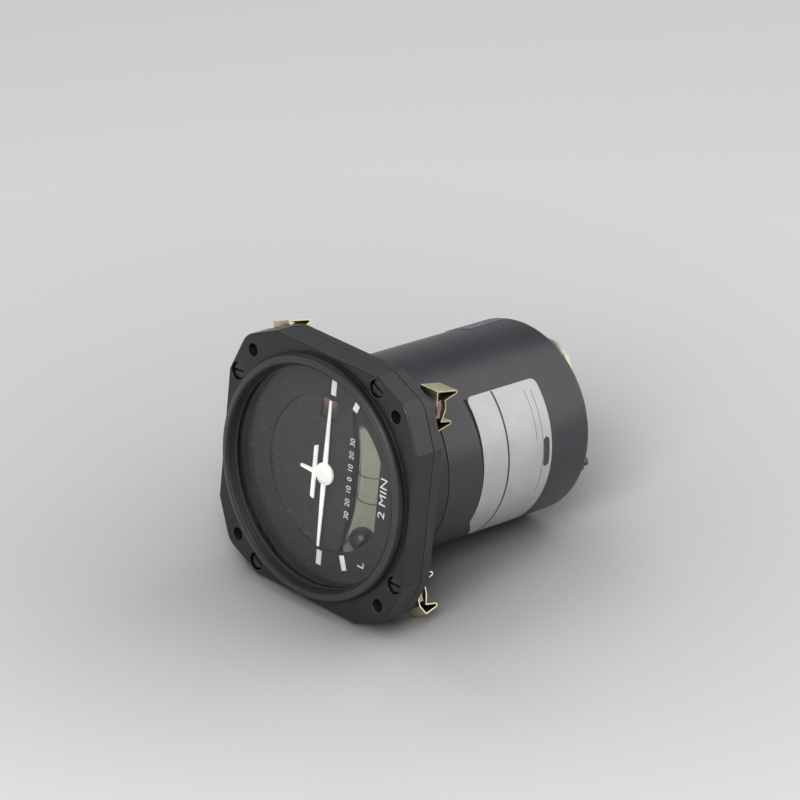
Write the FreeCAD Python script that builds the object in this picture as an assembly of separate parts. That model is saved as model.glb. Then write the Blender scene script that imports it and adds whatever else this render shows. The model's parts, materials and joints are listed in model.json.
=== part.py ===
import FreeCAD
import Part
import math
import os

# Panel turn coordinator: 3 1/8 inch dial size, square eared flange, 2.5 inch tail can.
# Everything is drawn upright in the instrument's own frame, in millimetres:
#   X to the right and Z up as the pilot reads the dial, Y rearward along the case axis.
# Y = 0 is the flange's front face. On export the whole instrument is rolled onto its left
# side about Y, which is how it lies, so the pilot's right becomes +Z and the pilot's up -X.

V = FreeCAD.Vector
ROLL = -90.0

# Flange and bezel
FLANGE_HALF = 41.275        # 3.25 inch square over the flats
FLAT_END = 21.9             # the flats stop here and the ears begin
EAR = 35.3                  # sharp ear corner on both axes, before rounding
EAR_ROUND = 7.0
BEZEL_REAR = 7.6
SEAM_REAR = 8.0
FLANGE_REAR = 11.8
BOSS_REAR = 13.6
HOLE_XZ = 31.43             # 3.5 inch bolt circle
HOLE_R = 2.15
SCREW_PCR = 43.56
SCREW_TURN = 14.25          # degrees past each mounting hole
RING_R = 39.5               # collar that fills a 3 1/8 inch panel hole
RING_WALL = 1.5
RING_TOP = 3.2
WINDOW_R = 35.4
BORE_R = 37.2

# Case
NECK_R = 31.8
NECK_BORE = 30.6
NECK_REAR = 26.5
CAN_FRONT = 27.0
CAN_R = 31.75               # 2.5 inch diameter
CAN_BORE = 30.75
CAN_REAR = 91.3
CAN_WALL = 1.5

# Stack behind the glass
LENS = (0.4, 2.4)
MASK = (5.0, 6.0)
DIAL = (6.0, 7.0)
SPACER_REAR = 8.0
MASK_WINDOW_R = 25.3
MASK_SILL = -22.4

# Inclinometer
TUBE_ARC = 65.0             # radius of the tube's curved centre line
TUBE_MID_Z = -15.0
TUBE_Y = 11.0
TUBE_R = 4.7
TUBE_BORE = 4.25
BALL_R = 4.0
BALL_X = 19.4               # ball centre when it lies at the low end

# Chassis and mechanism
PLATE_F = (18.5, 20.5)
PLATE_R = (76.0, 78.0)
BOARD = (80.0, 81.6)
POST_X = 25.0
POST_Z = 12.5
CANT = 30.0                 # gimbal axis nose-up angle
GYRO_Y = 50.0
ROTOR_R = 16.5
SHAFT_R = 0.9
PIVOT_R = 1.5
DRIVE_PIN_Z = -8.0
DAMP_Z = 13.0               # height of the damper above the gimbal axis, square to it
DAMP_Y = -20.0
RUN = 0.05                  # running clearance on radius

# Rear connector
PLUG_X = 12.2
PLUG_R = 11.0
PLUG_NECK_R = 10.75         # plain neck under the locknut, ahead of the thread
PLUG_NECK_REAR = 94.5
PLUG_REAR = 103.8
PLUG_BORE = 9.2

os.makedirs("parts", exist_ok=True)
NODES = {}


def cyl(r, y0, y1, x=0.0, z=0.0):
    return Part.makeCylinder(r, y1 - y0, V(x, y0, z), V(0, 1, 0))


def ring(ro, ri, y0, y1, x=0.0, z=0.0):
    return cyl(ro, y0, y1, x, z).cut(cyl(ri, y0 - 1, y1 + 1, x, z))


def box(x0, x1, y0, y1, z0, z1):
    return Part.makeBox(x1 - x0, y1 - y0, z1 - z0, V(x0, y0, z0))


def rod_x(r, x0, x1, y=0.0, z=0.0):
    return Part.makeCylinder(r, x1 - x0, V(x0, y, z), V(1, 0, 0))


def rod_z(r, z0, z1, x=0.0, y=0.0):
    return Part.makeCylinder(r, z1 - z0, V(x, y, z0), V(0, 0, 1))


def prism(points, y0, y1):
    verts = [V(x, y0, z) for x, z in points]
    face = Part.Face(Part.makePolygon(verts + [verts[0]]))
    return face.extrude(V(0, y1 - y0, 0))


def fuse(shapes):
    out = shapes[0]
    for s in shapes[1:]:
        out = out.fuse(s)
    return out.removeSplitter()


def spin(shape, deg):
    """Turn about the case axis; positive is clockwise as the dial is read."""
    s = shape.copy()
    s.rotate(V(0, 0, 0), V(0, 1, 0), deg)
    return s


def sector(r0, r1, y0, y1, low, high):
    """Curved plate between two bearings, measured from +X towards +Z."""
    pts = [V(r0, y0, 0), V(r1, y0, 0), V(r1, y1, 0), V(r0, y1, 0)]
    face = Part.Face(Part.makePolygon(pts + [pts[0]]))
    return spin(face.revolve(V(0, 0, 0), V(0, 1, 0), high - low), -high)


def canted(shape):
    """From the gimbal's level frame to its place in the case."""
    s = shape.copy()
    s.rotate(V(0, 0, 0), V(1, 0, 0), -CANT)
    s.translate(V(0, GYRO_Y, 0))
    return s


def keep(name, shape):
    NODES[name] = shape


def group(shapes):
    return Part.makeCompound(shapes)


def rounded_outline(inset):
    """Eared square: four flats, sloping shoulders and a rounded ear on each corner."""
    h = FLANGE_HALF - inset
    e = EAR - inset * 0.92
    f = FLAT_END
    r = EAR_ROUND
    edges = []
    slope = math.atan2(h - e, e - f)
    turn = math.radians(90) - 2 * slope
    back = r * math.tan(turn / 2)
    ends = []
    for k in range(4):
        c, s = math.cos(math.radians(90 * k)), math.sin(math.radians(90 * k))
        t1 = (e - back * math.cos(slope), e + back * math.sin(slope))
        t2 = (e + back * math.sin(slope), e - back * math.cos(slope))
        bulge = (r / math.cos(turn / 2) - r) / math.sqrt(2)
        mid = (e - bulge, e - bulge)
        pts = [(h, f), t2, mid, t1, (f, h)]
        ends.append([V(x * c - z * s, 0, x * s + z * c) for x, z in pts])
    for k in range(4):
        a, t2, mid, t1, b = ends[k]
        edges.append(Part.makeLine(a, t2))
        edges.append(Part.Arc(t2, mid, t1).toShape())
        edges.append(Part.makeLine(t1, b))
        edges.append(Part.makeLine(b, ends[(k + 1) % 4][0]))
    return Part.Wire(Part.__sortEdges__(edges))


def outline_slab(y0, y1, inset, front_round=0.0, rear_round=0.0):
    face = Part.Face(rounded_outline(inset))
    face.translate(V(0, y0, 0))
    slab = face.extrude(V(0, y1 - y0, 0))
    for y, r in ((y0, front_round), (y1, rear_round)):
        if r > 0:
            rim = [e for e in slab.Edges
                   if abs(e.BoundBox.YMin - y) < 1e-6 and abs(e.BoundBox.YMax - y) < 1e-6]
            slab = slab.makeFillet(r, rim)
    return slab


def corner_points(radius, turn):
    out = []
    for k in range(4):
        a = math.radians(45 + 90 * k + turn)
        out.append((radius * math.cos(a), radius * math.sin(a)))
    return out


HOLES = corner_points(HOLE_XZ * math.sqrt(2), 0.0)
SCREWS = corner_points(SCREW_PCR, SCREW_TURN)


# Front bezel: eared plate, raised collar, window lip and lens bore
def collar():
    a = V(WINDOW_R, 0.8, 0)
    b = V(WINDOW_R, -1.0, 0)
    c = V(36.2, -2.8, 0)
    d = V(37.9, -RING_TOP + 0.25, 0)
    e = V(RING_R, -RING_WALL, 0)
    f = V(RING_R, 0.8, 0)
    edges = [
        Part.makeLine(a, b),
        Part.makeLine(b, c),
        Part.Arc(c, V(37.0, -RING_TOP, 0), d).toShape(),
        Part.Arc(d, V(39.05, -2.45, 0), e).toShape(),
        Part.makeLine(e, f),
        Part.makeLine(f, a),
    ]
    return Part.Face(Part.Wire(edges)).revolve(V(0, 0, 0), V(0, 1, 0), 360)


bezel = outline_slab(0.0, BEZEL_REAR, 0.0, front_round=0.6).fuse(collar())
bezel = bezel.cut(cyl(BORE_R, 0.0, BEZEL_REAR + 1))
bezel = bezel.cut(cyl(WINDOW_R, -1.0, 1.0))
for x, z in HOLES:
    bezel = bezel.cut(cyl(HOLE_R, -1, BEZEL_REAR + 1, x, z))
for x, z in SCREWS:
    bezel = bezel.cut(cyl(2.9, -1, 3.0, x, z)).cut(cyl(1.4, 2, BEZEL_REAR + 1, x, z))
keep("front_bezel", bezel)

seam = outline_slab(BEZEL_REAR, SEAM_REAR, 0.7).cut(cyl(BORE_R + 0.2, 7, 9))
flange = outline_slab(SEAM_REAR, FLANGE_REAR, 0.1, rear_round=0.5)
flange = flange.fuse(cyl(NECK_R, FLANGE_REAR - 0.5, NECK_REAR))
for x, z in HOLES:
    flange = flange.fuse(cyl(4.3, FLANGE_REAR - 0.5, BOSS_REAR, x, z))
flange = flange.cut(cyl(NECK_BORE, SEAM_REAR - 1, NECK_REAR + 1))
LUGS = (60.0, 120.0, 240.0, 300.0)
LUG_R = 28.75
for a in LUGS:
    flange = flange.fuse(sector(27.0, NECK_BORE + 0.3, 17.0, PLATE_F[0], a - 8, a + 8))
for a in LUGS:
    c, s = math.cos(math.radians(a)), math.sin(math.radians(a))
    flange = flange.cut(cyl(1.0, 16, 19, LUG_R * c, LUG_R * s))
for x, z in HOLES:
    seam = seam.cut(cyl(HOLE_R, 7, 9, x, z))
    flange = flange.cut(cyl(HOLE_R, 7, 15, x, z))
for x, z in SCREWS:
    seam = seam.cut(cyl(1.4, 7, 9, x, z))
    flange = flange.cut(cyl(1.4, 7, 13, x, z))
keep("flange_seam_gasket", seam)
keep("mounting_flange", flange.removeSplitter())

# Slotted screws that hold the bezel to the flange, heads sunk in the face
heads = []
for (x, z), slot in zip(SCREWS, (79.0, -55.0, 88.0, -63.0)):
    s = cyl(2.4, 0.9, 2.95, x, z).fuse(cyl(1.3, 2.9, 11.4, x, z))
    cutter = box(-3, 3, 0.5, 1.7, -0.4, 0.4)
    cutter.rotate(V(0, 0, 0), V(0, 1, 0), slot)
    cutter.translate(V(x, 0, z))
    heads.append(s.cut(cutter))
keep("bezel_screws", group(heads))

# Bent butterfly spring clips behind the ears, each with a captive square nut
CLIP_PATH = (
    (6.2, 0.2), (4.9, 8.3), (4.5, 8.75), (3.95, 8.4), (2.7, 3.6), (1.0, 4.2), (-1.0, 4.1),
    (-2.8, 3.4), (-4.1, 2.8), (-4.8, 6.9), (-5.3, 7.25), (-5.75, 6.8), (-6.9, 1.9), (-4.2, 0.2),
)
CLIP_T = 0.4
CLIP_W = 7.3
CLIP_LEANS = (-22.0, 6.0, -28.0, -1.0)
CLIP_HOLE_R = 2.5


def strip(p, q):
    dz, dy = q[0] - p[0], q[1] - p[1]
    length = math.hypot(dz, dy)
    slab = Part.makeBox(CLIP_W, CLIP_T, length, V(-CLIP_W / 2, -CLIP_T / 2, 0))
    slab.rotate(V(0, 0, 0), V(1, 0, 0), -math.degrees(math.atan2(dy, dz)))
    slab.translate(V(0, p[1], p[0]))
    return slab


def clip():
    n = len(CLIP_PATH)
    pieces = []
    for i in range(n):
        p, q = CLIP_PATH[i], CLIP_PATH[(i + 1) % n]
        pieces.append(strip(p, q))
        pieces.append(rod_x(CLIP_T / 2, -CLIP_W / 2, CLIP_W / 2, p[1], p[0]))
    body = pieces[0].multiFuse(pieces[1:]).removeSplitter()
    return body.cut(cyl(CLIP_HOLE_R, -1, 5))


def at_holes(shape):
    placed = []
    for (x, z), lean in zip(HOLES, CLIP_LEANS):
        s = shape.copy()
        s.rotate(V(0, 0, 0), V(0, 1, 0), 90 + lean)
        s.translate(V(x, BOSS_REAR, z))
        placed.append(s)
    return group(placed)


one_nut = box(-3.2, 3.2, 0.45, 2.5, -2.9, 2.9).cut(cyl(1.75, -1, 5))
keep("clip_springs", at_holes(clip()))
keep("clip_nuts", at_holes(one_nut))

# Glass stack
keep("lens_gasket", ring(BORE_R - 0.1, WINDOW_R, 0.0, LENS[0]))
keep("lens", cyl(BORE_R - 0.1, LENS[0], LENS[1]))
keep("lens_spacer_ring", ring(BORE_R - 0.1, 35.2, LENS[1], MASK[0]))
keep("dial_spacer_ring", ring(BORE_R - 0.1, 31.2, DIAL[1], SPACER_REAR))

# Dial mask with the round window, closed below by the inclinometer's sill
window = cyl(MASK_WINDOW_R, MASK[0] - 1, MASK[1] + 1)
window = window.cut(box(-30, 30, 0, 10, -40, MASK_SILL))
mask = cyl(BORE_R - 0.1, MASK[0], MASK[1]).cut(window)
keep("dial_mask", mask)


def tube_arc(r_out, r_in, half_deg, opening=None):
    """A round section carried along the tube's curved centre line, with an optional opening along it."""
    top = TUBE_MID_Z + TUBE_ARC
    circle = Part.Wire(Part.makeCircle(r_out, V(0, TUBE_Y, TUBE_MID_Z), V(1, 0, 0)))
    face = Part.Face(circle)
    if r_in > 0:
        hole = Part.Wire(Part.makeCircle(r_in, V(0, TUBE_Y, TUBE_MID_Z), V(1, 0, 0)))
        face = face.cut(Part.Face(hole))
    if opening is not None:
        face = face.cut(opening)
    body = face.revolve(V(0, 0, top), V(0, 1, 0), 2 * half_deg)
    body.rotate(V(0, 0, top), V(0, 1, 0), -half_deg)
    return body


def on_arc(shape, deg):
    """Carry a shape drawn at the tube's middle along its curved centre line."""
    s = shape.copy()
    s.rotate(V(0, 0, TUBE_MID_Z + TUBE_ARC), V(0, 1, 0), deg)
    return s


# Dial plate: pointer hole, flag window, hooded cut-out over the ball tube
FLAG_X = (17.2, 23.8)
FLAG_Z = (-0.9, 5.9)
dial = cyl(BORE_R - 0.1, DIAL[0], DIAL[1])
hood_r = 118.0
hood_top = -9.85
hood = cyl(hood_r, DIAL[0] - 1, 12, 0, hood_top + hood_r)
slot = box(-23.2, 23.2, 5, 12, -24.0, 0).cut(hood)
dial = dial.cut(slot).cut(tube_arc(TUBE_R + 0.5, 0, 23.6))
skirt = box(-20.6, 20.6, DIAL[1] - 0.5, 9.1, -12, 0).common(hood)
skirt = skirt.cut(cyl(hood_r - 0.8, 4, 13, 0, hood_top + hood_r)).cut(tube_arc(TUBE_R + 0.4, 0, 23.6))
dial = dial.fuse(skirt)
dial = dial.cut(cyl(2.25, 5, 9))
dial = dial.cut(box(FLAG_X[0], FLAG_X[1], 5, 7.5, FLAG_Z[0], FLAG_Z[1]))
keep("dial_plate", dial.removeSplitter())

# White bars on the mask: wings-level and standard-rate pairs
bars = []
for deg in (0.0, 21.6, 158.4, 180.0):
    bars.append(spin(box(26.15, 31.0, MASK[0] - 0.08, MASK[0], -1.05, 1.05), deg))
keep("dial_index_bars", group(bars))

# Inclinometer
BALL_DEG = math.degrees(math.asin(BALL_X / TUBE_ARC))
END_DEG = math.degrees(math.asin((BALL_X + BALL_R + 0.1) / TUBE_ARC)) + 0.1
keep("inclinometer_tube", tube_arc(TUBE_R, TUBE_BORE, END_DEG))
plug = rod_x(TUBE_R, 0.0, 0.8, TUBE_Y, TUBE_MID_Z)
plug_l = on_arc(plug.mirror(V(0, 0, 0), V(1, 0, 0)), END_DEG)
keep("inclinometer_end_caps", group([on_arc(plug, -END_DEG), plug_l]))
ball = Part.makeSphere(BALL_R, V(0, TUBE_Y, TUBE_MID_Z))
keep("slip_ball", on_arc(ball, BALL_DEG))


# The tube lies in a pale gutter whose mouth tips down; the index wires bridge the mouth
MOUTH_TIP = 20.0
mouth = box(-1, 1, TUBE_Y - 8, TUBE_Y, TUBE_MID_Z - 8, TUBE_MID_Z + 8)
mouth.rotate(V(0, TUBE_Y, TUBE_MID_Z), V(1, 0, 0), MOUTH_TIP)
wire = Part.makeTorus(TUBE_R + 0.2, 0.16, V(0, TUBE_Y, TUBE_MID_Z), V(1, 0, 0)).common(mouth)
wire_deg = math.degrees(4.15 / TUBE_ARC)
keep("inclinometer_index_wires", group([on_arc(wire, wire_deg), on_arc(wire, -wire_deg)]))
gutter_end = END_DEG + 0.7
gutter = tube_arc(TUBE_R + 0.8, TUBE_R + 0.2, gutter_end, mouth)
for x in (-13.0, 13.0):
    foot = box(x - 2.5, x + 2.5, 14.5, PLATE_F[0], -17, -12)
    gutter = gutter.fuse(foot.cut(tube_arc(TUBE_R + 0.5, 0, gutter_end)))
keep("inclinometer_back_plate", gutter.removeSplitter())

# Aeroplane pointer: tapered wings, domed fuselage, tailplane and fin standing proud
wing = [(-24.5, -0.42), (-3.0, -0.95), (3.0, -0.95), (24.5, -0.42),
        (24.5, 0.42), (3.0, 0.95), (-3.0, 0.95), (-24.5, 0.42)]
plane = prism(wing, 3.9, 4.3)
dome = Part.makeCone(2.2, 3.6, 0.8, V(0, 3.0, 0), V(0, 1, 0)).fuse(cyl(3.6, 3.8, 4.6))
fin = prism([(-0.75, 2.4), (0.75, 2.4), (0.5, 9.3), (-0.35, 9.3)], 2.75, 3.5)
tail = prism([(-9.0, 2.8), (9.0, 2.8), (8.4, 4.1), (-8.4, 4.1)], 2.75, 3.4)
boom = prism([(-1.4, 0.0), (1.4, 0.0), (1.0, 3.4), (-1.0, 3.4)], 2.85, 4.2)
plane = fuse([plane, dome, boom, tail, fin])
keep("aeroplane_pointer", plane)
keep("pointer_shaft", fuse([cyl(SHAFT_R, 4.6, 23.4), cyl(1.5, 8.9, 9.5), cyl(1.5, 17.3, 17.9)]))
bush_f = cyl(2.2, DIAL[0] + 0.1, 8.7).fuse(cyl(3.2, DIAL[1], 7.7)).cut(cyl(SHAFT_R + RUN, 5, 10))
bush_r = cyl(2.2, 18.0, 20.5).fuse(cyl(3.2, 20.5, 21.0)).cut(cyl(SHAFT_R + RUN, 17, 22))
keep("pointer_bearings", group([bush_f, bush_r]))
fork = prism([(-2.6, -11.5), (2.6, -11.5), (2.6, -4.0), (1.8, 5.2), (-1.8, 5.2), (-2.6, -4.0)], 21.4, 22.3)
fork = fork.fuse(cyl(2.2, 21.4, 23.4)).cut(cyl(SHAFT_R + 0.02, 20, 24))
fork = fork.cut(box(-1.05, 1.05, 20, 24, -12, -5.2))
keep("pointer_fork", fork)

# Chassis: two plates on four posts, bolted to the lugs inside the neck
PILLARS = [(26.0 * math.cos(math.radians(a)), 26.0 * math.sin(math.radians(a))) for a in (90, 235, 305)]
front = cyl(30.2, PLATE_F[0], PLATE_F[1]).cut(cyl(2.25, 18, 21))
rear = cyl(29.4, PLATE_R[0], PLATE_R[1])
for a in LUGS:
    c, s = math.cos(math.radians(a)), math.sin(math.radians(a))
    front = front.cut(cyl(1.0, 18, 21, LUG_R * c, LUG_R * s))
POSTS = [(sx * POST_X, sz * POST_Z) for sx in (-1, 1) for sz in (-1, 1)]
posts = []
screws = []
for x, z in POSTS:
    front = front.cut(cyl(1.0, 18, 21, x, z))
    rear = rear.cut(cyl(1.0, 75, 79, x, z))
    p = cyl(2.4, PLATE_F[1], PLATE_R[0], x, z)
    posts.append(p.cut(cyl(1.0, 20, 27, x, z)).cut(cyl(1.0, 70, 77, x, z)))
    screws.append(cyl(1.9, 17.3, 18.5, x, z).fuse(cyl(0.95, 18.4, 26, x, z)))
    screws.append(cyl(1.9, 78.0, 79.2, x, z).fuse(cyl(0.95, 71, 78.1, x, z)))
for a in LUGS:
    x, z = LUG_R * math.cos(math.radians(a)), LUG_R * math.sin(math.radians(a))
    screws.append(cyl(1.5, 20.5, 21.6, x, z).fuse(cyl(0.95, 17.1, 20.6, x, z)))
vent = [(14.0 * math.cos(math.radians(a)), 14.0 * math.sin(math.radians(a))) for a in (0, 180)]
for x, z in vent:
    front = front.cut(cyl(4.0, 18, 21, x, z))
keep("chassis_front_plate", front)
keep("chassis_rear_plate", rear)
keep("chassis_posts", group(posts))
keep("chassis_screws", group(screws))

# Pivot brackets carry the canted gimbal axis
near = canted(box(-40, 40, -23.3, 40, -60, 60))
far = canted(box(-40, 40, -40, 23.3, -60, 60))
bore = canted(cyl(2.55, -30, 30))


def bracket(blk, web, foot, keepout):
    s = canted(blk).fuse(web).cut(keepout).fuse(foot)
    return s.cut(bore).removeSplitter()


front_foot = box(-8.5, 8.5, 20.5, 22.0, 10.5, 19.0)
rear_foot = box(-8.5, 8.5, 74.4, 76.0, -19.0, -10.5)
keep("front_pivot_bracket", bracket(cyl(4.2, -26.5, -23.4), box(-3.2, 3.2, 20.5, 27.8, 9.6, 17.4),
                                    front_foot, near))
keep("rear_pivot_bracket", bracket(cyl(4.2, 23.4, 26.5), box(-3.2, 3.2, 72.2, 76.0, -17.4, -9.6),
                                   rear_foot, far))
bush = ring(2.5, PIVOT_R + RUN, -26.4, -23.5)
keep("gimbal_bearings", group([canted(bush), canted(bush.mirror(V(0, 0, 0), V(0, 1, 0)))]))

# Gimbal, drawn level and then canted
frame = box(-18, 18, -21.5, 21.5, -4, 4).cut(box(-15, 15, -18.5, 18.5, -5, 5))
up = [e for e in frame.Edges if abs(e.BoundBox.ZMax - e.BoundBox.ZMin - 8) < 1e-6]
frame = frame.makeFillet(2.0, up)
frame = frame.cut(rod_x(2.55, -19, 19))
keep("gimbal_frame", canted(frame))
stub = cyl(PIVOT_R, -26.2, -21.5).fuse(cyl(2.6, -22.3, -21.5))
keep("gimbal_pivots", group([canted(stub), canted(stub.mirror(V(0, 0, 0), V(0, 1, 0)))]))
arm_pts = [V(-1.5, 30.0, 8.6), V(-1.5, 33.0, 6.6), V(-1.5, 26.4, -9.8), V(-1.5, 24.0, -9.8)]
arm = Part.Face(Part.makePolygon(arm_pts + [arm_pts[0]])).extrude(V(3, 0, 0))
arm = arm.cut(canted(box(-30, 30, -40, 40, -4.0, 40)))
arm = arm.fuse(cyl(0.8, 20.9, 25.2, 0, DRIVE_PIN_Z))
keep("gimbal_drive_arm", arm.removeSplitter())
pin = rod_z(0.9, 3.99, 14.3, 0, DAMP_Y).fuse(rod_z(1.4, 4.0, 9.0, 0, DAMP_Y))
pin = pin.cut(box(-5, 5, -30, 0, 0, 4.0))
keep("damper_drive_pin", canted(pin))
race = ring(2.5, PIVOT_R + RUN, -3.0, 0.0)
race.rotate(V(0, 0, 0), V(0, 0, 1), 90)
race_l, race_r = race.copy(), race.copy()
race_l.translate(V(-18.0 - race.BoundBox.XMin, 0, 0))
race_r.translate(V(15.0 - race.BoundBox.XMin, 0, 0))
keep("rotor_bearings", group([canted(race_l), canted(race_r)]))

# Gyro rotor: heavy rim on a thin web, open on one side for the stator
rotor = rod_x(ROTOR_R, -8, 8).cut(rod_x(12.0, -0.5, 9)).cut(rod_x(12.0, -9, -3.0))
rotor = rotor.fuse(rod_x(3.2, -5.5, 1.2)).cut(rod_x(PIVOT_R + 0.02, -20, 20))
keep("gyro_rotor", canted(rotor.removeSplitter()))
keep("rotor_axle", canted(rod_x(PIVOT_R, -17.8, 17.8)))
stator = rod_x(10.6, 2.2, 10.2).fuse(rod_x(4.2, 10.2, 15.0)).cut(rod_x(2.1, 0, 16))
for k in range(6):
    groove = rod_x(1.7, 2.0, 10.4, 0, 10.2)
    groove.rotate(V(0, 0, 0), V(1, 0, 0), 60 * k)
    stator = stator.cut(groove)
keep("motor_stator", canted(stator))

# Damper and centring spring across the top of the gimbal
yoke = box(-2.15, 2.15, DAMP_Y - 3.2, DAMP_Y + 2.2, DAMP_Z - 0.6, DAMP_Z + 0.6)
yoke = yoke.cut(box(-1.2, 1.2, DAMP_Y - 2.0, DAMP_Y + 4, DAMP_Z - 2, DAMP_Z + 2))
piston = fuse([yoke, rod_x(0.6, 2.1, 9.2, DAMP_Y, DAMP_Z), rod_x(2.9, 9.0, 11.0, DAMP_Y, DAMP_Z)])
keep("dashpot_piston", canted(piston))
pot = rod_x(3.6, 5.2, 15.0, DAMP_Y, DAMP_Z).cut(rod_x(2.95, 6.0, 14.2, DAMP_Y, DAMP_Z))
pot = pot.cut(rod_x(0.65, 4, 7, DAMP_Y, DAMP_Z))
keep("dashpot_cylinder", canted(pot))
strut = box(8.0, 12.0, 20.5, 38.0, 19.4, 22.6).cut(canted(rod_x(3.65, 0, 20, DAMP_Y, DAMP_Z)))
strut = strut.cut(box(0, 20, 38.5, 50, 10, 30))
keep("dashpot_bracket", strut)
SPRING_X = (-13.9, -2.2)
helix = Part.makeHelix(1.9, SPRING_X[1] - SPRING_X[0] - 0.6, 2.0)
coil_wire = Part.Wire(Part.makeCircle(0.28, V(2.0, 0, 0), V(0, 1, 0)))
coil = Part.Wire(helix).makePipeShell([coil_wire], True, True)
coil.rotate(V(0, 0, 0), V(0, 1, 0), 90)
coil.translate(V(SPRING_X[0] + 0.3, DAMP_Y, DAMP_Z))
keep("restraining_spring", canted(coil))
anchor = box(-15.3, -13.95, 20.5, 41.6, 19.6, 23.2)
keep("spring_anchor", anchor)

# Power flag behind its window, and the coil that pulls it clear
FLAG_PIVOT = (12.5, 13.5)
blade = box(16.6, 24.3, 7.3, 7.8, -1.6, 6.6)
lever = prism([(11.6, 13.0), (13.6, 14.4), (19.4, 5.6), (17.4, 5.0)], 7.3, 7.8)
flag = fuse([blade, lever, cyl(1.9, 7.3, 8.6, *FLAG_PIVOT)])
flag = flag.cut(cyl(0.8 + RUN, 6, 10, *FLAG_PIVOT))
keep("power_flag", flag)
plate = box(9.5, 22.5, 8.9, 9.7, 10.0, 18.0).cut(cyl(0.8, 8, 10, *FLAG_PIVOT))
legs = [box(9.5, 10.7, 9.7, PLATE_F[0], 10.0, 18.0), box(21.3, 22.5, 9.7, PLATE_F[0], 12.0, 16.0)]
keep("flag_bracket", fuse([plate] + legs))
keep("flag_pivot", cyl(0.8, 7.1, 9.7, *FLAG_PIVOT))
coil_body = fuse([cyl(3.6, 10.5, 17.0, 16.8, 14.0), cyl(4.3, 9.7, 10.5, 16.8, 14.0),
                  cyl(4.3, 17.0, 17.8, 16.8, 14.0)])
keep("flag_coil", coil_body)

# Control board behind the rear plate
board = cyl(28.0, BOARD[0], BOARD[1])
pads = []
for x, z in PILLARS:
    board = board.cut(cyl(2.9, 79, 83, x, z))
for x, z in ((-20.0, 8.0), (20.0, 12.0), (0.0, -22.0)):
    board = board.cut(cyl(1.0, 79, 83, x, z))
    pads.append(cyl(2.2, PLATE_R[1], BOARD[0], x, z))
keep("circuit_board", board)
keep("board_standoffs", group(pads))
b = BOARD[1]
bits = [box(-21, -10, b, b + 6.0, -6, 6), cyl(3.2, b, b + 7.0, -5, 14), cyl(3.2, b, b + 7.0, 4, 18),
        cyl(2.4, b, b + 5.5, -13, 13), box(-8, -2, b, b + 2.2, -4, 4),
        box(-14, -8, b, b + 3.0, -16, -11), box(-4, 8, b, b + 1.6, -19, -15)]
for k in range(5):
    bits.append(box(-7.0, -2.0, b, b + 1.4, -13 + 1.9 * k, -12.0 + 1.9 * k))
keep("board_components", group(bits))

# Tail can, its joint seal, pillars and screws
outer = cyl(CAN_R, CAN_FRONT, CAN_REAR)
rim = [e for e in outer.Edges if abs(e.BoundBox.YMin - CAN_REAR) < 1e-6]
outer = outer.makeFillet(1.8, rim)
can = outer.cut(cyl(CAN_BORE, CAN_FRONT - 1, CAN_REAR - CAN_WALL))
can = can.cut(cyl(PLUG_R + 0.05, 80, 100, PLUG_X, 0))
GROUND = (-8.4, -25.9)
can = can.cut(cyl(1.6, 80, 100, *GROUND))
for x, z in PILLARS:
    can = can.cut(cyl(1.3, 80, 100, x, z))
keep("rear_can", can)
keep("case_joint_seal", ring(31.2, 30.7, NECK_REAR, CAN_FRONT))
pillars = []
tail_screws = []
for x, z in PILLARS:
    pillars.append(cyl(2.7, PLATE_R[1], CAN_REAR - CAN_WALL, x, z).cut(cyl(1.3, 83, 95, x, z)))
    head = cyl(2.4, CAN_REAR, CAN_REAR + 1.7, x, z).fuse(cyl(1.25, 84, CAN_REAR + 0.5, x, z))
    head = head.cut(box(x - 3, x + 3, CAN_REAR + 0.9, CAN_REAR + 3, z - 0.35, z + 0.35))
    tail_screws.append(head)
keep("rear_pillars", group(pillars))
keep("rear_can_screws", group(tail_screws))
stud = fuse([cyl(1.55, 87.5, 96.6, *GROUND), cyl(3.0, 88.3, CAN_REAR - CAN_WALL, *GROUND),
             cyl(2.9, CAN_REAR, 93.2, *GROUND)])
keep("ground_stud", stud)

# Rear connector
shell = fuse([cyl(PLUG_NECK_R, 88.3, PLUG_NECK_REAR, PLUG_X, 0), cyl(PLUG_R, PLUG_NECK_REAR, PLUG_REAR, PLUG_X, 0),
              cyl(12.6, 88.3, CAN_REAR - CAN_WALL, PLUG_X, 0)])
shell = shell.cut(cyl(PLUG_BORE, 80, 110, PLUG_X, 0))
for y in (96.5, 98.3, 100.1, 101.9):
    shell = shell.cut(ring(PLUG_R + 1, PLUG_R - 0.35, y, y + 0.7, PLUG_X, 0))
key = box(PLUG_X - 0.9, PLUG_X + 0.9, 95.6, PLUG_REAR - 0.6, PLUG_BORE - 0.9, PLUG_BORE + 0.3)
shell = shell.fuse(key)
keep("connector_shell", shell.removeSplitter())
nut = ring(13.4, PLUG_NECK_R + 0.05, CAN_REAR, 94.1, PLUG_X, 0)
for k in range(6):
    flat = box(-8, 8, 80, 100, 12.6, 20)
    flat = spin(flat, 60 * k)
    flat.translate(V(PLUG_X, 0, 0))
    nut = nut.cut(flat)
keep("connector_locknut", nut)
insert = cyl(PLUG_BORE - 0.05, 86.0, 95.2, PLUG_X, 0)
contacts = []
for k in range(4):
    a = math.radians(45 + 90 * k)
    x, z = PLUG_X + 4.6 * math.cos(a), 4.6 * math.sin(a)
    insert = insert.cut(cyl(1.25, 80, 100, x, z))
    contacts.append(cyl(1.2, 84.0, 95.2, x, z).cut(cyl(0.75, 89, 96, x, z)))
keep("connector_insert", insert)
keep("connector_contacts", group(contacts))

# Foil data plate and small inspection seal wrapped on the can
PLATE_T = 0.2


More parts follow.
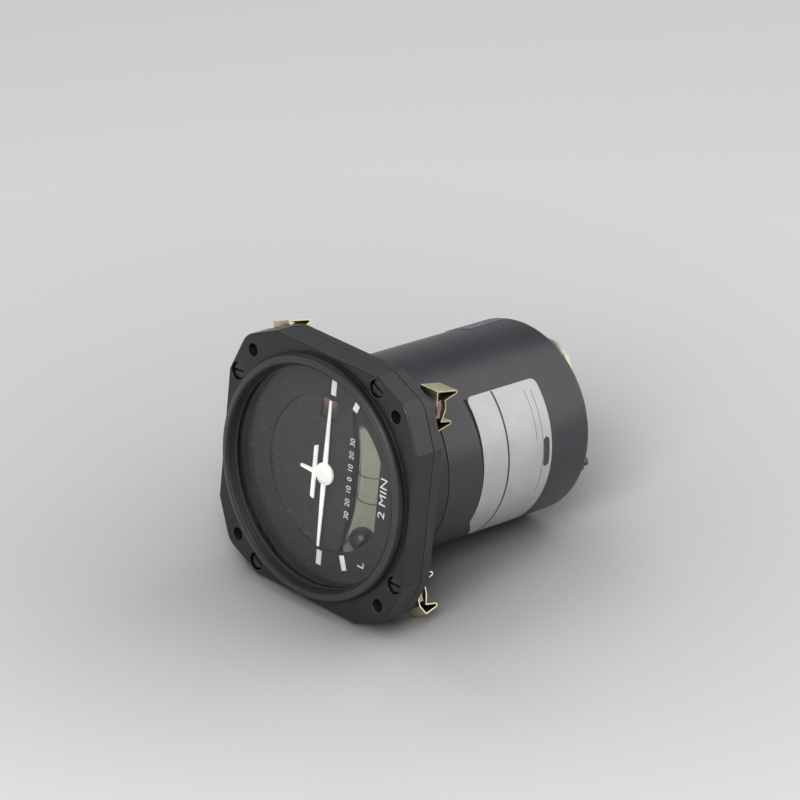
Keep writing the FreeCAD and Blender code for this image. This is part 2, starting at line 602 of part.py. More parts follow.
def wrapped(y0, y1, low, high, corner):
    s = sector(CAN_R + 0.02, CAN_R + 0.02 + PLATE_T, y0, y1, low, high)
    edges = [e for e in s.Edges if abs(e.Length - PLATE_T) < 1e-3]
    return s.makeFillet(corner, edges)


def clipped_corner(plate, near, far):
    """Cut a corner off a wrapped plate along the line between two (y, bearing) points on its face."""
    middle = math.radians((near[1] + far[1]) / 2)
    out = V(math.cos(middle), 0, math.sin(middle))
    along = V(-math.sin(middle), 0, math.cos(middle))
    points = []
    for y, bearing in (near, far):
        reach = CAN_R * math.sin(math.radians(bearing) - middle)
        points.append(out * (CAN_R - 4) + along * reach + V(0, y, 0))
    run = points[1] - points[0]
    a = points[0] - run
    b = points[1] + run
    c = V(b.x, a.y, b.z)
    face = Part.Face(Part.makePolygon([a, b, c, a]))
    return plate.cut(face.extrude(out * 8))


data_plate = wrapped(42.2, 73.0, -140.0, -40.7, 2.2)
keep("data_plate", clipped_corner(data_plate, (42.2, -119.0), (49.5, -138.0)))
keep("inspection_seal", wrapped(72.5, 89.0, 14.0, 36.0, 1.5))

for name, shape in NODES.items():
    out = shape.copy()
    out.rotate(V(0, 0, 0), V(0, 1, 0), ROLL)
    out.exportStep("parts/%s.step" % name)
    print(name, len(out.Solids), "solids", round(out.Volume, 2), "mm3", "ok" if out.isValid() else "INVALID")
print(len(NODES), "nodes")
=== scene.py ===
import json
import math

import bpy
from mathutils import Matrix, Vector


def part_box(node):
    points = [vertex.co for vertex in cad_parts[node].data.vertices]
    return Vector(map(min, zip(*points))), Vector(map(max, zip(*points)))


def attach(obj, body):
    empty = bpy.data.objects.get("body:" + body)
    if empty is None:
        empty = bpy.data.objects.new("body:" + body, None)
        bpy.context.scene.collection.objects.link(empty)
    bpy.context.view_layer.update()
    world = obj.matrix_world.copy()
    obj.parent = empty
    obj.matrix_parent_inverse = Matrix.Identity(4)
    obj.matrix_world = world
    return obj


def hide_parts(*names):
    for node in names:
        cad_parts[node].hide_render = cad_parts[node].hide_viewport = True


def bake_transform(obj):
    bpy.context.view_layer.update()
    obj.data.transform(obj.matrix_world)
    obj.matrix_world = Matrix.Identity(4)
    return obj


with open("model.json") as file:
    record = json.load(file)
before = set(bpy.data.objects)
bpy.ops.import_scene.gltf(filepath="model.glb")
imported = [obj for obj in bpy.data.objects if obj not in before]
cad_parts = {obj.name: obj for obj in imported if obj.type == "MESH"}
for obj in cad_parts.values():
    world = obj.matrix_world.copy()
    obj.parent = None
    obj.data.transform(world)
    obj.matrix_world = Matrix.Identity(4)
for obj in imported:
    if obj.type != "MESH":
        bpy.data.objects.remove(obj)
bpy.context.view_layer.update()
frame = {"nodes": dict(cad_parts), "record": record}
nodes = frame["nodes"]
MM = 0.001

# The instrument lies on its left side: what the pilot reads as right is +Z, and up is -X
READ_RIGHT = Vector((0, 0, 1))
READ_UP = Vector((-1, 0, 0))
READ_OUT = Vector((0, -1, 0))


def grey(level):
    return (level, level, level)


# Camera of the photograph
CAMERA_PLACE = Vector((807.39, -834.41, 507.99)) * MM
CAMERA_RIGHT = Vector((0.70391852, 0.70453761, 0.09014143))
CAMERA_UP = Vector((-0.33010951, 0.2121369, 0.91979652))
CAMERA_LENS = 185.0

# The floor passes under the flange's lower rear edge and the can's rear edge
REST_EDGE = Vector((0, 12.0, -41.35)) * MM
REST_TILT = math.radians(7.0)
FLOOR_HALF = 6.0

# Its tone rises over PALE_REACH metres away from the instrument and falls again over DIM_REACH: painted
# shade near the instrument and far off
FLOOR_SHADED_NEAR = grey(0.58)
FLOOR_FAR = grey(0.73)
PALE_REACH = (0.09, 0.32)
DIM_REACH = (0.75, 1.60)
FAR_SHADE_TONE = 0.55

# Painted shade round the instrument's foot: where CONTACT_SKY or less of the sky is open within
# CONTACT_REACH metres, it falls to CONTACT_TONE
CONTACT_REACH = 0.16
CONTACT_SKY = 0.35
CONTACT_TONE = 0.36

# The backdrop is only seen, and darkens as the view rises; EVEN_LIGHT and the lamps light the scene
BACKDROP_RISE = (0.10, 0.55)
BACKDROP_LOW = 0.62
BACKDROP_HIGH = 0.22
EVEN_LIGHT = 0.20
LAMP_AIM = Vector((0, 0.045, 0))


# Shader nodes

class Graph:
    """The shader nodes of one tree. A value is a number, a colour or the output of another node."""

    def __init__(self, tree):
        tree.nodes.clear()
        self.tree = tree

    def give(self, socket, value):
        if isinstance(value, bpy.types.NodeSocket):
            self.tree.links.new(value, socket)
        elif socket.type == "RGBA":
            socket.default_value = (*value, 1.0)
        else:
            socket.default_value = value

    def add(self, kind, values=None, **settings):
        """A node with its settings and the values of its inputs, by name or by number."""
        node = self.tree.nodes.new(kind)
        for key, value in settings.items():
            setattr(node, key, value)
        for key, value in (values or {}).items():
            self.give(node.inputs[key], value)
        return node

    def math(self, operation, a, b):
        return self.add("ShaderNodeMath", {0: a, 1: b}, operation=operation).outputs[0]

    def times(self, a, b):
        return self.math("MULTIPLY", a, b)

    def remap(self, value, low, high, to_low=0.0, to_high=1.0):
        made = self.add("ShaderNodeMapRange", {
            "Value": value, "From Min": low, "From Max": high, "To Min": to_low, "To Max": to_high})
        return made.outputs[0]

    def blend(self, share, a, b):
        """Colour a where share is 0 and colour b where it is 1."""
        return self.add("ShaderNodeMix", {0: share, 6: a, 7: b}, data_type="RGBA").outputs[2]

    def length(self, vector):
        return self.add("ShaderNodeVectorMath", {0: vector}, operation="LENGTH").outputs["Value"]

    def mixed(self, share, first, second):
        """The first shader where share is 0 and the second where it is 1."""
        return self.add("ShaderNodeMixShader", {"Fac": share, 1: first.outputs[0], 2: second.outputs[0]})


class Look(Graph):
    """One procedural material. Sizes are in millimetres, in the row frame."""

    def __init__(self, name):
        self.material = bpy.data.materials.new(name)
        self.material.use_nodes = True
        super().__init__(self.material.node_tree)
        self.place = self.add("ShaderNodeTexCoord").outputs["Object"]

    def surface(self, shader):
        self.add("ShaderNodeOutputMaterial", {"Surface": shader.outputs[0]})
        return self.material

    def finish(self, **values):
        """The finished material, from the inputs of a Principled shader."""
        named = {key.replace("_", " "): value for key, value in values.items()}
        return self.surface(self.add("ShaderNodeBsdfPrincipled", named))

    def noise(self, size, detail=3.0, rough=0.55, stretch=(1, 1, 1), warp=0.0):
        scaled = self.add("ShaderNodeMapping", {"Vector": self.place, "Scale": stretch})
        made = self.add("ShaderNodeTexNoise", {
            "Vector": scaled.outputs[0], "Scale": 1.0 / (size * MM), "Detail": detail,
            "Roughness": rough, "Distortion": warp})
        return made.outputs["Fac"]

    def specks(self, size, share, amount):
        """The given amount where a sparse speck is, 0 elsewhere."""
        cells = self.add("ShaderNodeTexVoronoi", {"Vector": self.place, "Scale": 1.0 / (size * MM)})
        return self.times(self.remap(cells.outputs["Distance"], share, share * 0.55), amount)

    def axis(self, name):
        return self.add("ShaderNodeSeparateXYZ", {"Vector": self.place}).outputs[name]

    def radius(self):
        """Distance from the instrument's axis."""
        across = {0: self.place, 1: (1.0, 0.0, 1.0)}
        return self.length(self.add("ShaderNodeVectorMath", across, operation="MULTIPLY").outputs[0])

    def fade(self, value, places, most=1.0):
        """0 before the first of two places and most after the second."""
        return self.remap(value, places[0] * MM, places[1] * MM, 0.0, most)

    def corners(self, reach, least=0.0):
        """Below 1 in holes, slots and inner corners: a mask for painted shade, where light doesn't reach.
        """
        open_sky = self.add("ShaderNodeAmbientOcclusion", {"Distance": reach * MM}, samples=8)
        return self.remap(open_sky.outputs["AO"], 0.15, 0.85, least, 1.0)

    def rounded(self, radius):
        return self.add("ShaderNodeBevel", {"Radius": radius * MM}, samples=4).outputs[0]

    def edges(self, radius):
        """1 along the piece's edges, from how far a rounded normal leans off the true one."""
        true = self.add("ShaderNodeNewGeometry").outputs["Normal"]
        both = {0: self.rounded(radius), 1: true}
        alike = self.add("ShaderNodeVectorMath", both, operation="DOT_PRODUCT").outputs["Value"]
        return self.remap(self.math("SUBTRACT", 1.0, alike), 0.02, 0.25)

    def mottled(self, cloud, dark, pale):
        return self.blend(self.remap(cloud, 0.35, 0.65), dark, pale)

    def rubbed_and_highlit(self, base, wear_and_highlight, radius, least, amount):
        """The base with its edges made paler, in patches that don't fall below least: rubbing, and in
        places a painted highlight.
        """
        patches = self.remap(self.noise(1.6, 4.0), 0.42, 0.62, least, 1.0)
        return self.blend(self.times(self.times(self.edges(radius), patches), amount), base, wear_and_highlight)

    def sheen(self, noise, low, high):
        """Roughness that wanders from low to high."""
        return self.remap(noise, 0.3, 0.7, low, high)

    def bump(self, height, depth, strength, under=None):
        values = {"Height": height, "Distance": depth * MM, "Strength": strength}
        if under is not None:
            values["Normal"] = under
        return self.add("ShaderNodeBump", values).outputs[0]


# Camera, lights and floor

def put(name, data):
    """A new object in the scene."""
    made = bpy.data.objects.new(name, data)
    bpy.context.scene.collection.objects.link(made)
    return made


def make_camera():
    data = bpy.data.cameras.new("camera")
    data.sensor_width = 36.0
    data.lens = CAMERA_LENS
    data.clip_start = 0.05
    data.clip_end = 50.0
    camera = put("camera", data)
    axes = Matrix((CAMERA_RIGHT, CAMERA_UP, CAMERA_RIGHT.cross(CAMERA_UP).normalized()))
    camera.matrix_world = Matrix.Translation(CAMERA_PLACE) @ axes.transposed().to_4x4()
    bpy.context.scene.camera = camera


def make_lamp(name, direction, distance, side, power):
    """A square lamp at a distance from the instrument, facing it."""
    data = bpy.data.lights.new(name, "AREA")
    data.shape = "RECTANGLE"
    data.size = side
    data.size_y = side
    data.energy = power
    lamp = put(name, data)
    towards = Vector(direction).normalized()
    lamp.location = LAMP_AIM + towards * distance
    lamp.rotation_mode = "QUATERNION"
    lamp.rotation_quaternion = towards.to_track_quat("Z", "Y")


def make_world():
    """Even light on the scene, and a graded backdrop for the camera, reflections and glass."""
    world = bpy.data.worlds.new("studio")
    bpy.context.scene.world = world
    world.use_nodes = True
    sky = Graph(world.node_tree)
    even = sky.add("ShaderNodeBackground", {"Color": grey(1.0), "Strength": EVEN_LIGHT})
    view = sky.add("ShaderNodeTexCoord").outputs["Generated"]
    rise = sky.add("ShaderNodeSeparateXYZ", {0: view}).outputs["Z"]
    graded = sky.remap(rise, *BACKDROP_RISE, BACKDROP_LOW, BACKDROP_HIGH)
    backdrop = sky.add("ShaderNodeBackground", {"Color": graded, "Strength": 1.0})
    ray = sky.add("ShaderNodeLightPath").outputs
    shown = sky.math("MAXIMUM", ray["Is Camera Ray"], ray["Is Glossy Ray"])
    shown = sky.math("MAXIMUM", shown, ray["Is Transmission Ray"])
    sky.add("ShaderNodeOutputWorld", {"Surface": sky.mixed(shown, even, backdrop).outputs[0]})


def floor_paint():
    """Matt grey above and clear below, with painted shade near the instrument, round its foot and far off.
    """
    look = Look("floor")
    away = look.length(look.place)
    colour = look.blend(look.remap(away, *PALE_REACH), FLOOR_SHADED_NEAR, FLOOR_FAR)
    open_sky = look.add("ShaderNodeAmbientOcclusion", {"Distance": CONTACT_REACH}).outputs["AO"]
    # Painted shade round the instrument's foot
    painted_contact_shade = look.remap(open_sky, CONTACT_SKY, 1.0, CONTACT_TONE, 1.0)
    share = look.times(painted_contact_shade, look.remap(away, *DIM_REACH, 1.0, FAR_SHADE_TONE))
    shaded = look.add("ShaderNodeVectorMath", {0: colour, "Scale": share}, operation="SCALE")
    matt = look.add("ShaderNodeBsdfDiffuse", {"Color": shaded.outputs[0]})
    below = look.add("ShaderNodeNewGeometry").outputs["Backfacing"]
    return look.surface(look.mixed(below, matt, look.add("ShaderNodeBsdfTransparent")))


def make_floor():
    half = FLOOR_HALF
    mesh = bpy.data.meshes.new("floor")
    mesh.from_pydata([(-half, -half, 0), (half, -half, 0), (half, half, 0), (-half, half, 0)], [],
                     [(0, 1, 2, 3)])
    mesh.materials.append(floor_paint())
    floor = put("floor", mesh)
    upward = Vector((0, -math.sin(REST_TILT), math.cos(REST_TILT)))
    turn = upward.to_track_quat("Z", "Y").to_matrix().to_4x4()
    floor.matrix_world = Matrix.Translation(REST_EDGE) @ turn


make_camera()
make_world()
make_floor()
make_lamp("key_above_behind", direction=(0.42, 0.66, 0.62), distance=1.8, side=2.3, power=22.0)
make_lamp("key_above_left", direction=(-0.60, 0.05, 0.80), distance=1.8, side=0.7, power=5.0)
make_lamp("front_fill", direction=(0.40, -0.74, 0.54), distance=1.1, side=0.6, power=11.2)
bpy.context.scene.view_settings.view_transform = "Standard"


# Materials

DUST = (0.5, 0.5, 0.48)
# A near black for painted shade in holes, slots, inner corners and on the collar's walls
PAINTED_SHADE = grey(0.002)


def tone(colour, factor):
    return tuple(min(1.0, c * factor) for c in colour)


def coated(name, colour, rough, grain, depth, rounding=0.25, wear_and_highlight=None, wear_and_highlight_share=0.35, painted_glow=0.0, painted_shade_reach=0.0):
    """Paint, anodising or moulded plastic: mottled colour, fine grain, edges paler from rubbing and in
    places as a painted highlight; where given, painted shade in holes and corners and an emission that is
    painted light.
    """
    look = Look(name)
    cloud = look.noise(9.0, 4.0)
    base = look.mottled(cloud, tone(colour, 0.85), tone(colour, 1.15))
    if wear_and_highlight is not None:
        # Paler edges: rubbing, and on the ring under the glass a painted highlight
        base = look.rubbed_and_highlit(base, wear_and_highlight, rounding, 0.15, wear_and_highlight_share)
    if painted_shade_reach > 0.0:
        # Painted shade in holes and inner corners
        base = look.blend(look.corners(painted_shade_reach), PAINTED_SHADE, base)
    shine = look.sheen(cloud, rough - 0.05, rough + 0.06)
    normal = look.bump(look.noise(grain, 4.0, 0.65), depth, 0.6, look.rounded(rounding))
    # Any emission is painted light: the surface glows though it is no lamp
    return look.finish(Base_Color=base, Roughness=shine, Normal=normal, Emission_Color=base,
                       Emission_Strength=painted_glow)


def metal(name, colour, rough, tarnish, brushed=(1, 1, 1), rounding=0.12, amount=0.6, painted_shade_reach=0.0):
    """Bare or plated metal: tool marks along one way, tarnish in clouds, brighter edges, and painted shade
    in inner corners where given.
    """
    look = Look(name)
    cloud = look.noise(3.0, 5.0, 0.6, warp=0.4)
    marks = look.noise(0.25, 3.0, 0.6, brushed)
    base = look.blend(look.times(look.remap(cloud, 0.4, 0.7), amount), colour, tarnish)
    base = look.blend(look.times(look.edges(rounding), 0.5), base, tone(colour, 1.35))
    # Painted shade in inner corners and folds
    if painted_shade_reach > 0.0:
        base = look.blend(look.corners(painted_shade_reach, 0.1), tone(tarnish, 0.12), base)
    shine = look.sheen(marks, rough - 0.07, rough + 0.1)
    normal = look.bump(marks, 0.004, 0.5, look.rounded(rounding))
    return look.finish(Base_Color=base, Metallic=1.0, Roughness=shine, Normal=normal)


def clear(name, tint, rough, index, smear=0.0, rim=1.0):
    """Thin glass: what is behind shows unbent, and the surface mirrors more at a grazing view, by rim."""
    look = Look(name)
    film = look.add("ShaderNodeBsdfTransparent", {"Color": tint})
    haze = look.remap(look.noise(14.0, 4.0), 0.4, 0.75, rough, rough + smear)
    gloss = look.add("ShaderNodeBsdfGlossy", {"Roughness": haze})
    facing = look.add("ShaderNodeLayerWeight", {"Blend": 0.5}).outputs["Facing"]
    straight = ((index - 1) / (index + 1)) ** 2
    grazing = look.times(look.math("POWER", facing, 5.0), (1.0 - straight) * rim)
    return look.surface(look.mixed(look.math("ADD", grazing, straight), film, gloss))


# Where the bezel's painted shade and highlights lie: heights of the collar's foot, radii either side of
# its crest, and the radius and depth of the lip round the window
COLLAR_FOOT = (-0.05, -0.25)
CREST_INSIDE = (37.1, 36.6)
CREST_OUTSIDE = (38.6, 39.0)
LIP_RADIUS = (35.9, 35.5)
LIP_DEPTH = (-1.0, -0.8)


def bezel_paint():
    """Satin black, edges paler from rubbing and a painted highlight; painted shade in holes and on the
    matt walls either side of the collar's crest; painted highlights on the crest and on the lip.
    """
    look = Look("bezel_black")
    cloud = look.noise(9.0, 4.0)
    base = look.mottled(cloud, (0.0095, 0.0095, 0.0100), (0.0135, 0.0135, 0.0140))
    # Paler edges: rubbing, strengthened into a painted highlight along the edges
    base = look.rubbed_and_highlit(base, grey(0.11), 0.5, 0.45, 0.7)
    base = look.blend(look.specks(2.6, 0.1, 0.08), base, DUST)
    # Painted shade in holes, slots and inner corners
    base = look.blend(look.corners(3.0), PAINTED_SHADE, base)
    radius = look.radius()
    depth = look.axis("Y")
    raised = look.fade(depth, COLLAR_FOOT)
    slopes = look.math("MAXIMUM", look.fade(radius, CREST_INSIDE), look.fade(radius, CREST_OUTSIDE))
    shaded_wall = look.times(slopes, raised)
    crest = look.times(look.math("SUBTRACT", 1.0, shaded_wall), raised)
    # Painted shade on the collar's walls
    base = look.blend(shaded_wall, base, PAINTED_SHADE)
    # A painted highlight along the collar's crest
    base = look.blend(look.times(crest, 0.6), base, grey(0.05))
    # A painted highlight on the lip round the window
    lip = look.times(look.fade(radius, LIP_RADIUS), look.fade(depth, LIP_DEPTH))
    base = look.blend(lip, base, grey(0.03))
    shine = look.math("ADD", look.sheen(cloud, 0.32, 0.40), look.times(shaded_wall, 0.2))
    normal = look.bump(look.noise(0.35, 4.0, 0.65), 0.008, 0.5, look.rounded(0.3))
    return look.finish(Base_Color=base, Roughness=shine, Normal=normal)


def anodised_can():
    """Blue-black anodising over turning marks."""
    look = Look("can_anodised")
    turned = look.noise(0.5, 3.0, 0.6, (0.12, 1.0, 0.12))
    base = look.mottled(look.noise(16.0, 4.0), (0.017, 0.0155, 0.0215), (0.0225, 0.021, 0.028))
    patches = look.remap(look.noise(1.5, 4.0), 0.45, 0.65, 0.0, 0.5)
    base = look.blend(look.times(look.edges(0.5), patches), base, (0.2, 0.19, 0.2))
    base = look.blend(look.specks(3.4, 0.07, 0.35), base, grey(0.4))
    shine = look.sheen(turned, 0.32, 0.40)
    marks = look.bump(turned, 0.004, 0.4, look.rounded(0.3))
    normal = look.bump(look.noise(0.22, 3.0), 0.006, 0.5, marks)
    return look.finish(Base_Color=base, Roughness=shine, Normal=normal, Specular_IOR_Level=0.60)


def foil():
    """Thin creased metal foil, part bare and part coated."""
    look = Look("foil")
    cloud = look.noise(7.0, 4.0, warp=0.5)
    crease = look.noise(2.2, 2.0, 0.5, (1, 0.5, 1), warp=1.2)
    base = look.mottled(cloud, (0.45, 0.45, 0.44), (0.50, 0.50, 0.49))
    base = look.blend(look.specks(1.9, 0.09, 0.4), base, (0.35, 0.34, 0.3))
    normal = look.bump(crease, 0.02, 0.35, look.rounded(0.08))
    shine = look.sheen(cloud, 0.44, 0.54)
    return look.finish(Base_Color=base, Metallic=0.45, Roughness=shine, Normal=normal)


# Depths between which the dial's black changes from the mask's to the plate's
DIAL_STEP = (5.5, 5.9)


def dial_face():
    """Matt black with dust and lint, a little paler on the plate behind the mask."""
    look = Look("dial_black")
    cloud = look.noise(12.0, 4.0)
    mask = look.mottled(cloud, (0.0115, 0.0100, 0.0100), (0.0165, 0.0145, 0.0145))
    plate = look.mottled(cloud, (0.0175, 0.0175, 0.0170), (0.0235, 0.0235, 0.0225))
    base = look.blend(look.fade(look.axis("Y"), DIAL_STEP), mask, plate)
    dusty = look.remap(look.noise(5.0, 2.0), 0.45, 0.6, 0.0, 0.5)
    base = look.blend(look.specks(2.1, 0.13, dusty), base, (0.42, 0.42, 0.40))
    linty = look.remap(look.noise(7.0, 2.0), 0.42, 0.58, 0.0, 0.4)
    base = look.blend(look.specks(1.3, 0.13, linty), base, (0.3, 0.28, 0.25))
    normal = look.bump(look.noise(0.6, 3.0, 0.6), 0.002, 0.3, look.rounded(0.12))
    return look.finish(Base_Color=base, Roughness=0.75, Normal=normal)


def board_green():
    """Green board with paler tracks."""
    look = Look("board_green")
    tracks = look.noise(1.4, 1.0, 0.4, (1, 1, 0.35))
    off_middle = look.math("ABSOLUTE", look.math("SUBTRACT", tracks, 0.5), 0.0)
    lines = look.times(look.remap(off_middle, 0.02, 0.03, 1.0, 0.0), 0.6)
    base = look.blend(lines, (0.035, 0.17, 0.075), (0.07, 0.30, 0.13))
    normal = look.bump(tracks, 0.03, 0.5, look.rounded(0.1))
    return look.finish(Base_Color=base, Roughness=0.38, Normal=normal)


# Places along the gutter where its cream darkens towards the low end and where painted shadow covers its
# two ends, and the depths of its front lip, in painted shadow too
GUTTER_GREYING = (8.0, -18.0)
GUTTER_RIGHT = (15.8, 17.6)
GUTTER_LEFT = (-18.5, -20.3)
GUTTER_LIP = (9.8, 9.5)


def gutter_paint():
    """Cream paint behind the tube, darker towards the low end and glowing a little as painted light, with
    painted shadow where the tube's two ends and the front lip sit in shadow.
    """
    look = Look("pale_plate")
    cream = look.blend(look.noise(6.0, 4.0), (0.74, 0.75, 0.66), (0.84, 0.85, 0.76))
    streaks = look.remap(look.noise(1.2, 3.0, 0.6, (1.0, 1.0, 0.08)), 0.45, 0.7, 0.0, 0.25)
    cream = look.blend(streaks, cream, (0.60, 0.61, 0.52))
    along = look.axis("Z")
    # Darker towards the low end
    cream = look.blend(look.fade(along, GUTTER_GREYING, 0.5), cream, (0.46, 0.47, 0.42))
    # Painted shadow at the tube's two ends
    ends = look.math("MAXIMUM", look.fade(along, GUTTER_RIGHT, 0.9), look.fade(along, GUTTER_LEFT, 0.65))
    base = look.blend(ends, cream, (0.03, 0.03, 0.027))
    # Painted shadow along the front lip
    base = look.blend(look.fade(look.axis("Y"), GUTTER_LIP, 0.85), base, (0.05, 0.05, 0.045))
    normal = look.bump(look.noise(0.4, 3.0), 0.004, 0.5, look.rounded(0.1))
    # The emission is painted light: the cream glows though it is no lamp
    return look.finish(Base_Color=base, Roughness=0.7, Normal=normal, Emission_Color=base,
                       Emission_Strength=0.32)


# Places across the flag where its dark part turns red
FLAG_FADE = (19.5, 24.0)


def flag_red():
    """Red towards one side of the flag and dark over most of it."""
    look = Look("flag_red")
    cloud = look.noise(2.0, 4.0)
    red = look.blend(cloud, (0.30, 0.11, 0.11), (0.42, 0.19, 0.19))
    dark_part = look.blend(cloud, (0.035, 0.037, 0.034), (0.055, 0.060, 0.052))
    base = look.blend(look.fade(look.axis("Z"), FLAG_FADE), dark_part, red)
    normal = look.bump(look.noise(0.3, 3.0), 0.01, 0.5, look.rounded(0.1))
    return look.finish(Base_Color=base, Roughness=0.6, Normal=normal)


def sticker():
    """Grey paper with a violet edge."""
    look = Look("sticker")
    base = look.blend(look.remap(look.noise(3.0, 4.0), 0.42, 0.6), (0.13, 0.13, 0.17), (0.19, 0.19, 0.22))
    base = look.blend(look.times(look.edges(0.5), 0.7), base, (0.13, 0.12, 0.36))
    fibre = look.noise(0.5, 4.0, 0.7, (1, 0.3, 1))
    return look.finish(Base_Color=base, Roughness=0.62, Normal=look.bump(fibre, 0.01, 0.5))


COATED = {
    # The flange gets painted shade in its holes and inner corners
    "flange_black": dict(colour=(0.018, 0.018, 0.019), rough=0.44, grain=0.35, depth=0.010,
                         wear_and_highlight=grey(0.10), wear_and_highlight_share=0.3, painted_shade_reach=3.0),
    # The spacer's pale edge is a painted highlight
    "spacer_black": dict(colour=grey(0.022), rough=0.40, grain=0.3, depth=0.006,
                         wear_and_highlight=grey(0.22), wear_and_highlight_share=0.8, rounding=0.2),
    "component_dark": dict(colour=(0.035, 0.035, 0.04), rough=0.4, grain=0.4, depth=0.008,
                           wear_and_highlight=grey(0.12), wear_and_highlight_share=0.3, rounding=0.15),
    "seal_rubber": dict(colour=grey(0.012), rough=0.75, grain=0.3, depth=0.012),
    "rubber_black": dict(colour=(0.006, 0.006, 0.007), rough=0.85, grain=0.3, depth=0.004, rounding=0.02),
    "gasket_grey": dict(colour=(0.045, 0.044, 0.042), rough=0.6, grain=0.3, depth=0.01),
    "ink_black": dict(colour=(0.035, 0.035, 0.036), rough=0.45, grain=0.3, depth=0.004, rounding=0.02),
    "ball_black": dict(colour=(0.016, 0.016, 0.017), rough=0.32, grain=1.0, depth=0.001),
    "mark_white": dict(colour=(0.86, 0.86, 0.84), rough=0.65, grain=0.25, depth=0.004, rounding=0.05),
    # The pointer's white glows a little: painted light
    "pointer_white": dict(colour=(0.96, 0.96, 0.90), rough=0.5, grain=0.3, depth=0.003, rounding=0.15,
                          painted_glow=0.2),
    "cap_grey": dict(colour=(0.22, 0.22, 0.20), rough=0.6, grain=0.4, depth=0.01),
    "insert_grey": dict(colour=grey(0.11), rough=0.6, grain=0.3, depth=0.01),
    "stator_core": dict(colour=(0.42, 0.15, 0.06), rough=0.35, grain=0.3, depth=0.02),
    "coil_copper": dict(colour=(0.45, 0.17, 0.07), rough=0.28, grain=0.3, depth=0.02),
}
METALS = {
    "steel": dict(colour=(0.52, 0.52, 0.53), rough=0.30, tarnish=(0.33, 0.32, 0.30), amount=0.4),
    "brass": dict(colour=(0.68, 0.50, 0.22), rough=0.30, tarnish=(0.42, 0.29, 0.11), amount=0.5),
    "plate_alu": dict(colour=(0.62, 0.63, 0.64), rough=0.38, tarnish=(0.42, 0.43, 0.44), amount=0.4,
                      brushed=(1, 1, 0.1)),
    "shell_plated": dict(colour=(0.58, 0.59, 0.47), rough=0.40, tarnish=(0.40, 0.40, 0.28)),
    # The clip gets painted shade in its inner corners and folds
    "clip_bronze": dict(colour=(0.72, 0.67, 0.45), rough=0.36, tarnish=(0.42, 0.37, 0.20), amount=0.7,
                        painted_shade_reach=4.0),
    "nut_bronze": dict(colour=(0.40, 0.27, 0.24), rough=0.42, tarnish=(0.24, 0.17, 0.15)),
    "dark_screw": dict(colour=grey(0.10), rough=0.42, tarnish=grey(0.05)),
    "wire_dark": dict(colour=(0.10, 0.10, 0.08), rough=0.4, tarnish=(0.05, 0.05, 0.04), rounding=0.05),
}
LOOKS = {
    "bezel_black": bezel_paint(),
    "can_anodised": anodised_can(),
    "foil": foil(),
    "dial_black": dial_face(),
    "board_green": board_green(),
    "pale_plate": gutter_paint(),
    "flag_red": flag_red(),
    "sticker": sticker(),
    "lens_glass": clear("lens_glass", (0.985, 0.99, 0.985), rough=0.03, index=1.45, smear=0.06),
    "tube_glass": clear("tube_glass", (0.985, 0.99, 0.965), rough=0.01, index=1.3, rim=0.12),
}
for name, values in COATED.items():
    LOOKS[name] = coated(name, **values)
for name, values in METALS.items():
    LOOKS[name] = metal(name, **values)

# The ring under the glass has a pale edge, a painted highlight, and the gasket round the glass has dulled
# to grey
OWN_LOOKS = {"lens_spacer_ring": "spacer_black", "lens_gasket": "gasket_grey"}

for row in frame["record"]["subparts"]:
    slots = nodes[row["node"]].data.materials
    slots.clear()
    slots.append(LOOKS[OWN_LOOKS.get(row["node"], row["material_slot"])])


# A copy of the restraining spring, which stretches between its anchor on the case and the dashpot's
# piston, stands in for the part

def stretching_spring(name, node):
    """A copy of the spring in place of the part, which is hidden; it is not attached to the case or the
    piston and does not stretch.
    """
    mesh = nodes[node].data.copy()
    mesh.name = name
    coil = put(name, mesh)
    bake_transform(coil)
    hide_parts(node)


stretching_spring("restraining_coil", "restraining_spring")


# Printed marks on the dial

MASK_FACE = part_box("dial_mask")[0].y
DIAL_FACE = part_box("dial_plate")[0].y
INK = 0.03 * MM


def dial_place(right, up, y):
    """A point given as the pilot reads the dial, in millimetres, as a place in the row frame."""
    return READ_RIGHT * right * MM + READ_UP * up * MM + Vector((0, y, 0))


def printed(name, words, centre, width, height, face):
    """Letters cut to a given width and height, standing a little proud of the face they are printed on."""
    curve = bpy.data.curves.new(name, "FONT")
    curve.body = words
    curve.extrude = 0.02
    text = put(name + "_text", curve)
    bpy.context.view_layer.update()
    mesh = bpy.data.meshes.new_from_object(text.evaluated_get(bpy.context.evaluated_depsgraph_get()))
    bpy.data.objects.remove(text)
    low = [min(v.co[i] for v in mesh.vertices) for i in range(3)]
    high = [max(v.co[i] for v in mesh.vertices) for i in range(3)]
    for v in mesh.vertices:
        share = [(v.co[i] - low[i]) / (high[i] - low[i]) for i in range(3)]
        right = centre[0] + (share[0] - 0.5) * width
        up = centre[1] + (share[1] - 0.5) * height
        v.co = dial_place(right, up, face) + READ_OUT * share[2] * INK
    mesh.materials.clear()
    mesh.materials.append(LOOKS["mark_white"])
    mark = put(name, mesh)
    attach(mark, "case")


printed("left_mark", "L", centre=(-24.2, -18.0), width=1.9, height=2.8, face=MASK_FACE)
printed("right_mark", "R", centre=(24.2, -18.0), width=2.2, height=2.8, face=MASK_FACE)
printed("turn_rate_mark", "2 MIN", centre=(0.6, -24.6), width=13.2, height=2.8, face=MASK_FACE)
printed("number_row", "30  20  10  0  10  20  30", centre=(1.2, -9.0), width=27.0, height=2.0,
        face=DIAL_FACE)
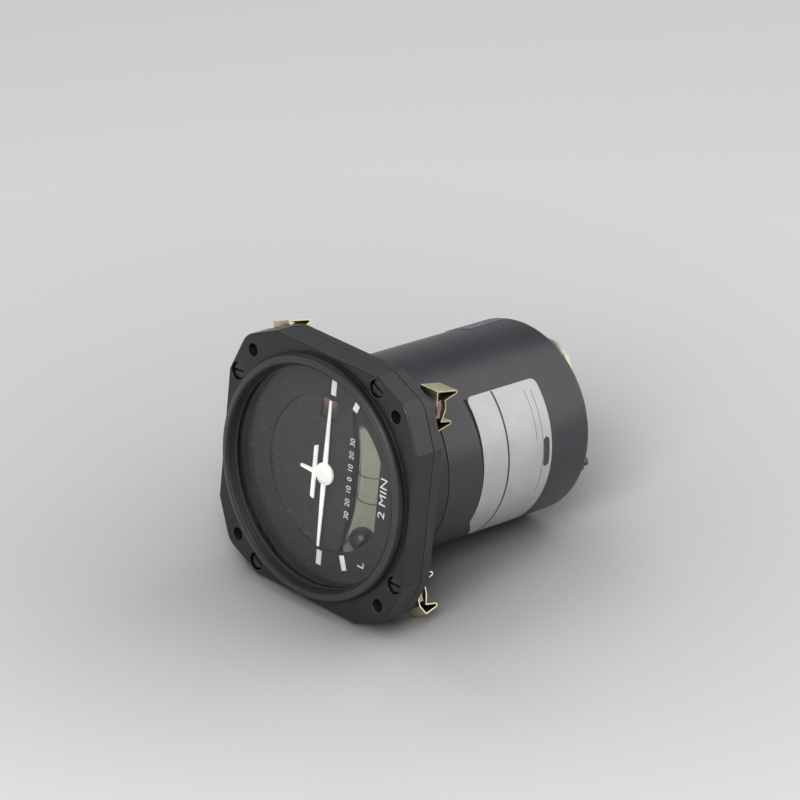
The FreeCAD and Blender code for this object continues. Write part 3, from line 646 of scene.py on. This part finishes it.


# Ink of the data plate and a dark strip along its front edge, each strip with the radii of its top and
# foot

PLATE_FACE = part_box("data_plate")[1].x
CAN_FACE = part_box("rear_can")[1].x
PLATE_INK = (PLATE_FACE + 0.02 * MM, PLATE_FACE - 0.03 * MM)
CAN_DARK_STRIP = (CAN_FACE + 0.08 * MM, CAN_FACE - 0.03 * MM)
STRIP_STEP = 1.5
STRIP_TIP = 0.02


def strip_sides(share, half, run, ends):
    """Where a strip's two long sides lie off its middle line, at a share of its run."""
    if ends == "round":
        near = min(share, 1 - share) * run
        reach = half
        if near < half:
            reach = math.sqrt(max(0.0, half ** 2 - (half - near) ** 2)) + STRIP_TIP
        return -reach, reach
    if ends == "taper":
        return half - 2 * half * share - STRIP_TIP, half
    return -half, half


def wrapped_strip(name, y, width, low, high, look, layer=PLATE_INK, ends="square"):
    """A thin strip round the can between two bearings in degrees above the +X side."""
    steps = max(8, int(abs(high - low) / STRIP_STEP))
    run = PLATE_FACE / MM * math.radians(high - low)
    verts = []
    for i in range(steps + 1):
        share = i / steps
        bearing = math.radians(low + (high - low) * share)
        for r in layer:
            for side in strip_sides(share, width / 2, run, ends):
                verts.append((r * math.cos(bearing), (y + side) * MM, r * math.sin(bearing)))
    faces = []
    for a in range(0, 4 * steps, 4):
        b = a + 4
        faces += [(a, a + 1, b + 1, b), (a + 2, b + 2, b + 3, a + 3)]
        faces += [(a, b, b + 2, a + 2), (a + 1, a + 3, b + 3, b + 1)]
    last = 4 * steps
    faces += [(0, 2, 3, 1), (last, last + 1, last + 3, last + 2)]
    mesh = bpy.data.meshes.new(name)
    mesh.from_pydata(verts, [], faces)
    mesh.validate()
    mesh.update()
    mesh.materials.append(LOOKS[look])
    strip = put(name, mesh)
    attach(strip, "case")


wrapped_strip("plate_rule", y=53.3, width=0.75, low=-50.0, high=48.9, look="ink_black")
wrapped_strip("plate_pill", y=70.6, width=2.6, low=-3.0, high=15.0, look="ink_black", ends="round")
wrapped_strip("plate_line_weight", y=66.4, width=0.16, low=14.0, high=44.0, look="ink_black")
wrapped_strip("plate_line_date", y=69.0, width=0.16, low=-20.0, high=43.0, look="ink_black")
wrapped_strip("plate_dark_strip", y=41.6, width=1.3, low=-5.0, high=48.5, look="rubber_black",
              layer=CAN_DARK_STRIP, ends="taper")
